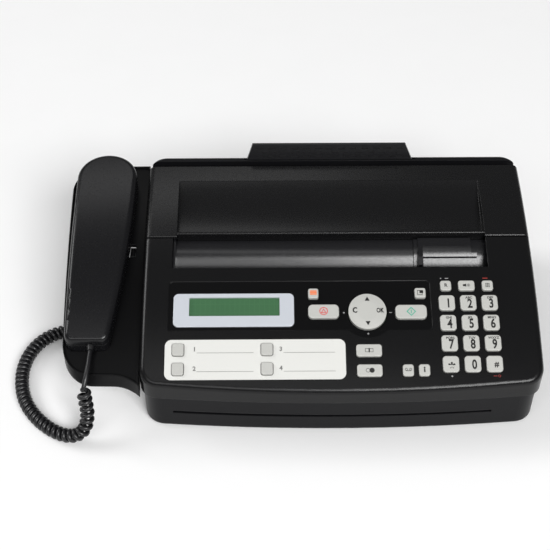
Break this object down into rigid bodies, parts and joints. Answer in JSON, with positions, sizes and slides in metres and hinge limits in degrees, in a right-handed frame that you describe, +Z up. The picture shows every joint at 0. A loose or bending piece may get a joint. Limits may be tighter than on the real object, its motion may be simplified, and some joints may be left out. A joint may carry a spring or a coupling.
{
  "type": "fax machine",
  "caption": "Desktop fax machine with a curved keypad panel, hinged rear cover, document slot, paper support, and a corded handset lying in a cradle on its left.",
  "frame": {"origin": "centre of the footprint at the table, under the feet, measured without the free cord", "axes": "+X right along the machine's width, +Y to the back, +Z up"},
  "size_m": [0.3799, 0.2043, 0.1126],
  "materials": {
    "black_abs": "satin black ABS, fine moulded texture",
    "key_grey": "light warm grey ABS key caps",
    "silver_plastic": "silver painted plastic",
    "lcd_glass": "green reflective liquid crystal glass",
    "label_white": "white printed card",
    "circuit_board": "green solder mask",
    "roller_rubber": "ground black rubber on steel shaft",
    "gear_plastic": "natural acetal",
    "steel": "plated steel",
    "ribbon_film": "black thermal transfer film on a core",
    "aluminium": "extruded aluminium",
    "dark_plastic": "black moulded plastic",
    "cord_pvc": "black flexible PVC",
    "clear_plug": "clear modular plug",
    "foot_rubber": "black rubber pad"
  },
  "bodies": {
    "base": {"base_shell": "black_abs", "handset_cradle": "black_abs", "rear_housing": "black_abs", "document_chute": "black_abs", "scanner_bar": "dark_plastic", "thermal_head": "aluminium", "main_board": "circuit_board", "drive_motor": "steel", "speaker": "dark_plastic", "screws": "steel", "feet": "foot_rubber", "cord_plug": "clear_plug", "curly_cord": "cord_pvc", "cord_lead": "cord_pvc"},
    "panel": {"control_panel": "black_abs", "keypad_board": "circuit_board", "lcd_bezel": "silver_plastic", "lcd_module": "lcd_glass", "label_card": "label_white"},
    "cover": {"rear_cover": "black_abs"},
    "guide": {"document_guide": "black_abs"},
    "support": {"paper_support": "black_abs"},
    "scan_roller": {"scan_roller": "roller_rubber"},
    "platen_roller": {"platen_roller": "roller_rubber"},
    "motor_pinion": {"motor_pinion": "gear_plastic"},
    "takeup_spool": {"ribbon_takeup_spool": "ribbon_film"},
    "supply_spool": {"ribbon_supply_spool": "ribbon_film"},
    "handset": {"handset_top_shell": "black_abs", "handset_bottom_shell": "black_abs", "strain_relief": "cord_pvc"},
    "hook": {"hook_switch": "black_abs"},
    "nav_pivot": {"nav_pivot": "gear_plastic"},
    "nav_disc": {"nav_disc": "key_grey"},
    "key_1": {"key_1": "key_grey"},
    "key_2": {"key_2": "key_grey"},
    "key_3": {"key_3": "key_grey"},
    "key_4": {"key_4": "key_grey"},
    "key_5": {"key_5": "key_grey"},
    "key_6": {"key_6": "key_grey"},
    "key_7": {"key_7": "key_grey"},
    "key_8": {"key_8": "key_grey"},
    "key_9": {"key_9": "key_grey"},
    "key_star": {"key_star": "key_grey"},
    "key_0": {"key_0": "key_grey"},
    "key_hash": {"key_hash": "key_grey"},
    "flash_key": {"flash_key": "key_grey"},
    "hands_free_key": {"hands_free_key": "key_grey"},
    "redial_key": {"redial_key": "key_grey"},
    "stop_key": {"stop_key": "key_grey"},
    "start_key": {"start_key": "key_grey"},
    "resolution_key": {"resolution_key": "key_grey"},
    "settings_key": {"settings_key": "key_grey"},
    "directory_key": {"directory_key": "key_grey"},
    "contrast_key": {"contrast_key": "key_grey"},
    "message_key": {"message_key": "key_grey"},
    "info_key": {"info_key": "key_grey"},
    "memory_key_1": {"memory_key_1": "key_grey"},
    "memory_key_2": {"memory_key_2": "key_grey"},
    "memory_key_3": {"memory_key_3": "key_grey"},
    "memory_key_4": {"memory_key_4": "key_grey"}
  },
  "joints": [
    {"name": "panel_hinge", "type": "hinge", "parent": "base", "child": "panel", "pos_m": [0, 0.012, 0.081], "axis": [-1, 0, 0], "range_deg": [0, 14]},
    {"name": "cover_hinge", "type": "hinge", "parent": "base", "child": "cover", "pos_m": [0, 0.079, 0.091], "axis": [-1, 0, 0], "range_deg": [0, 70]},
    {"name": "guide_slide", "type": "slide", "parent": "base", "child": "guide", "axis": [1, 0, 0], "range_m": [-0.026, 0.0357]},
    {"name": "support_slide", "type": "slide", "parent": "base", "child": "support", "axis": [0, 0, 1], "range_m": [0, 0.045]},
    {"name": "handset_lift", "type": "slide", "parent": "base", "child": "handset", "axis": [0, 0, 1], "range_m": [0, 0.12]},
    {"name": "hook_plunger", "type": "slide", "parent": "base", "child": "hook", "axis": [0, 0, 1], "range_m": [0, 0.004], "stiffness_N_per_m": 15, "springref_m": 0.01},
    {"name": "scan_roller_spin", "type": "hinge", "parent": "base", "child": "scan_roller", "pos_m": [0, -0.036, 0.038], "axis": [1, 0, 0], "continuous": true},
    {"name": "platen_spin", "type": "hinge", "parent": "base", "child": "platen_roller", "pos_m": [0, 0.01, 0.04], "axis": [1, 0, 0], "continuous": true},
    {"name": "pinion_spin", "type": "hinge", "parent": "base", "child": "motor_pinion", "pos_m": [0, -0.01258, 0.02926], "axis": [1, 0, 0], "continuous": true},
    {"name": "takeup_spin", "type": "hinge", "parent": "base", "child": "takeup_spool", "pos_m": [0, 0.038, 0.062], "axis": [1, 0, 0], "continuous": true},
    {"name": "supply_spin", "type": "hinge", "parent": "base", "child": "supply_spool", "pos_m": [0, 0.0676, 0.06], "axis": [1, 0, 0], "continuous": true},
    {"name": "nav_rock_up_down", "type": "hinge", "parent": "panel", "child": "nav_pivot", "pos_m": [0.0482, -0.04109, 0.06532], "axis": [1, 0, 0], "range_deg": [-2.5, 2.5], "stiffness_Nm_per_rad": 0.06},
    {"name": "nav_rock_left_right", "type": "hinge", "parent": "nav_pivot", "child": "nav_disc", "pos_m": [0.0482, -0.04109, 0.06532], "axis": [0, 0.9368, 0.3498], "range_deg": [-2.5, 2.5], "stiffness_Nm_per_rad": 0.06},
    {"name": "key_1_press", "type": "slide", "parent": "panel", "child": "key_1", "axis": [0, 0.338, -0.9412], "range_m": [0, 0.0008], "stiffness_N_per_m": 300, "springref_m": -0.001},
    {"name": "key_2_press", "type": "slide", "parent": "panel", "child": "key_2", "axis": [0, 0.338, -0.9412], "range_m": [0, 0.0008], "stiffness_N_per_m": 300, "springref_m": -0.001},
    {"name": "key_3_press", "type": "slide", "parent": "panel", "child": "key_3", "axis": [0, 0.338, -0.9412], "range_m": [0, 0.0008], "stiffness_N_per_m": 300, "springref_m": -0.001},
    {"name": "key_4_press", "type": "slide", "parent": "panel", "child": "key_4", "axis": [0, 0.3668, -0.9303], "range_m": [0, 0.0008], "stiffness_N_per_m": 300, "springref_m": -0.001},
    {"name": "key_5_press", "type": "slide", "parent": "panel", "child": "key_5", "axis": [0, 0.3668, -0.9303], "range_m": [0, 0.0008], "stiffness_N_per_m": 300, "springref_m": -0.001},
    {"name": "key_6_press", "type": "slide", "parent": "panel", "child": "key_6", "axis": [0, 0.3668, -0.9303], "range_m": [0, 0.0008], "stiffness_N_per_m": 300, "springref_m": -0.001},
    {"name": "key_7_press", "type": "slide", "parent": "panel", "child": "key_7", "axis": [0, 0.3953, -0.9186], "range_m": [0, 0.0008], "stiffness_N_per_m": 300, "springref_m": -0.001},
    {"name": "key_8_press", "type": "slide", "parent": "panel", "child": "key_8", "axis": [0, 0.3953, -0.9186], "range_m": [0, 0.0008], "stiffness_N_per_m": 300, "springref_m": -0.001},
    {"name": "key_9_press", "type": "slide", "parent": "panel", "child": "key_9", "axis": [0, 0.3953, -0.9186], "range_m": [0, 0.0008], "stiffness_N_per_m": 300, "springref_m": -0.001},
    {"name": "key_star_press", "type": "slide", "parent": "panel", "child": "key_star", "axis": [0, 0.4234, -0.906], "range_m": [0, 0.0008], "stiffness_N_per_m": 300, "springref_m": -0.001},
    {"name": "key_0_press", "type": "slide", "parent": "panel", "child": "key_0", "axis": [0, 0.4234, -0.906], "range_m": [0, 0.0008], "stiffness_N_per_m": 300, "springref_m": -0.001},
    {"name": "key_hash_press", "type": "slide", "parent": "panel", "child": "key_hash", "axis": [0, 0.4234, -0.906], "range_m": [0, 0.0008], "stiffness_N_per_m": 300, "springref_m": -0.001},
    {"name": "flash_key_press", "type": "slide", "parent": "panel", "child": "flash_key", "axis": [0, 0.3123, -0.95], "range_m": [0, 0.0008], "stiffness_N_per_m": 300, "springref_m": -0.001},
    {"name": "hands_free_key_press", "type": "slide", "parent": "panel", "child": "hands_free_key", "axis": [0, 0.3123, -0.95], "range_m": [0, 0.0008], "stiffness_N_per_m": 300, "springref_m": -0.001},
    {"name": "redial_key_press", "type": "slide", "parent": "panel", "child": "redial_key", "axis": [0, 0.3123, -0.95], "range_m": [0, 0.0008], "stiffness_N_per_m": 300, "springref_m": -0.001},
    {"name": "stop_key_press", "type": "slide", "parent": "panel", "child": "stop_key", "axis": [0, 0.3496, -0.9369], "range_m": [0, 0.0008], "stiffness_N_per_m": 300, "springref_m": -0.001},
    {"name": "start_key_press", "type": "slide", "parent": "panel", "child": "start_key", "axis": [0, 0.3508, -0.9365], "range_m": [0, 0.0008], "stiffness_N_per_m": 300, "springref_m": -0.001},
    {"name": "resolution_key_press", "type": "slide", "parent": "panel", "child": "resolution_key", "axis": [0, 0.323, -0.9464], "range_m": [0, 0.0008], "stiffness_N_per_m": 300, "springref_m": -0.001},
    {"name": "settings_key_press", "type": "slide", "parent": "panel", "child": "settings_key", "axis": [0, 0.323, -0.9464], "range_m": [0, 0.0008], "stiffness_N_per_m": 300, "springref_m": -0.001},
    {"name": "directory_key_press", "type": "slide", "parent": "panel", "child": "directory_key", "axis": [0, 0.4045, -0.9145], "range_m": [0, 0.0008], "stiffness_N_per_m": 300, "springref_m": -0.001},
    {"name": "contrast_key_press", "type": "slide", "parent": "panel", "child": "contrast_key", "axis": [0, 0.431, -0.9023], "range_m": [0, 0.0008], "stiffness_N_per_m": 300, "springref_m": -0.001},
    {"name": "message_key_press", "type": "slide", "parent": "panel", "child": "message_key", "axis": [0, 0.431, -0.9023], "range_m": [0, 0.0008], "stiffness_N_per_m": 300, "springref_m": -0.001},
    {"name": "info_key_press", "type": "slide", "parent": "panel", "child": "info_key", "axis": [0, 0.431, -0.9023], "range_m": [0, 0.0008], "stiffness_N_per_m": 300, "springref_m": -0.001},
    {"name": "memory_key_1_press", "type": "slide", "parent": "panel", "child": "memory_key_1", "axis": [0, 0.4019, -0.9157], "range_m": [0, 0.0008], "stiffness_N_per_m": 300, "springref_m": -0.001},
    {"name": "memory_key_2_press", "type": "slide", "parent": "panel", "child": "memory_key_2", "axis": [0, 0.4277, -0.9039], "range_m": [0, 0.0008], "stiffness_N_per_m": 300, "springref_m": -0.001},
    {"name": "memory_key_3_press", "type": "slide", "parent": "panel", "child": "memory_key_3", "axis": [0, 0.4019, -0.9157], "range_m": [0, 0.0008], "stiffness_N_per_m": 300, "springref_m": -0.001},
    {"name": "memory_key_4_press", "type": "slide", "parent": "panel", "child": "memory_key_4", "axis": [0, 0.4276, -0.904], "range_m": [0, 0.0008], "stiffness_N_per_m": 300, "springref_m": -0.001}
  ],
  "couplings": [
    {"joint": "platen_spin", "follows": "scan_roller_spin", "ratio": 1},
    {"joint": "pinion_spin", "follows": "scan_roller_spin", "ratio": -2.5714},
    {"joint": "hook_plunger", "follows": "handset_lift", "ratio": 0.033333}
  ]
}
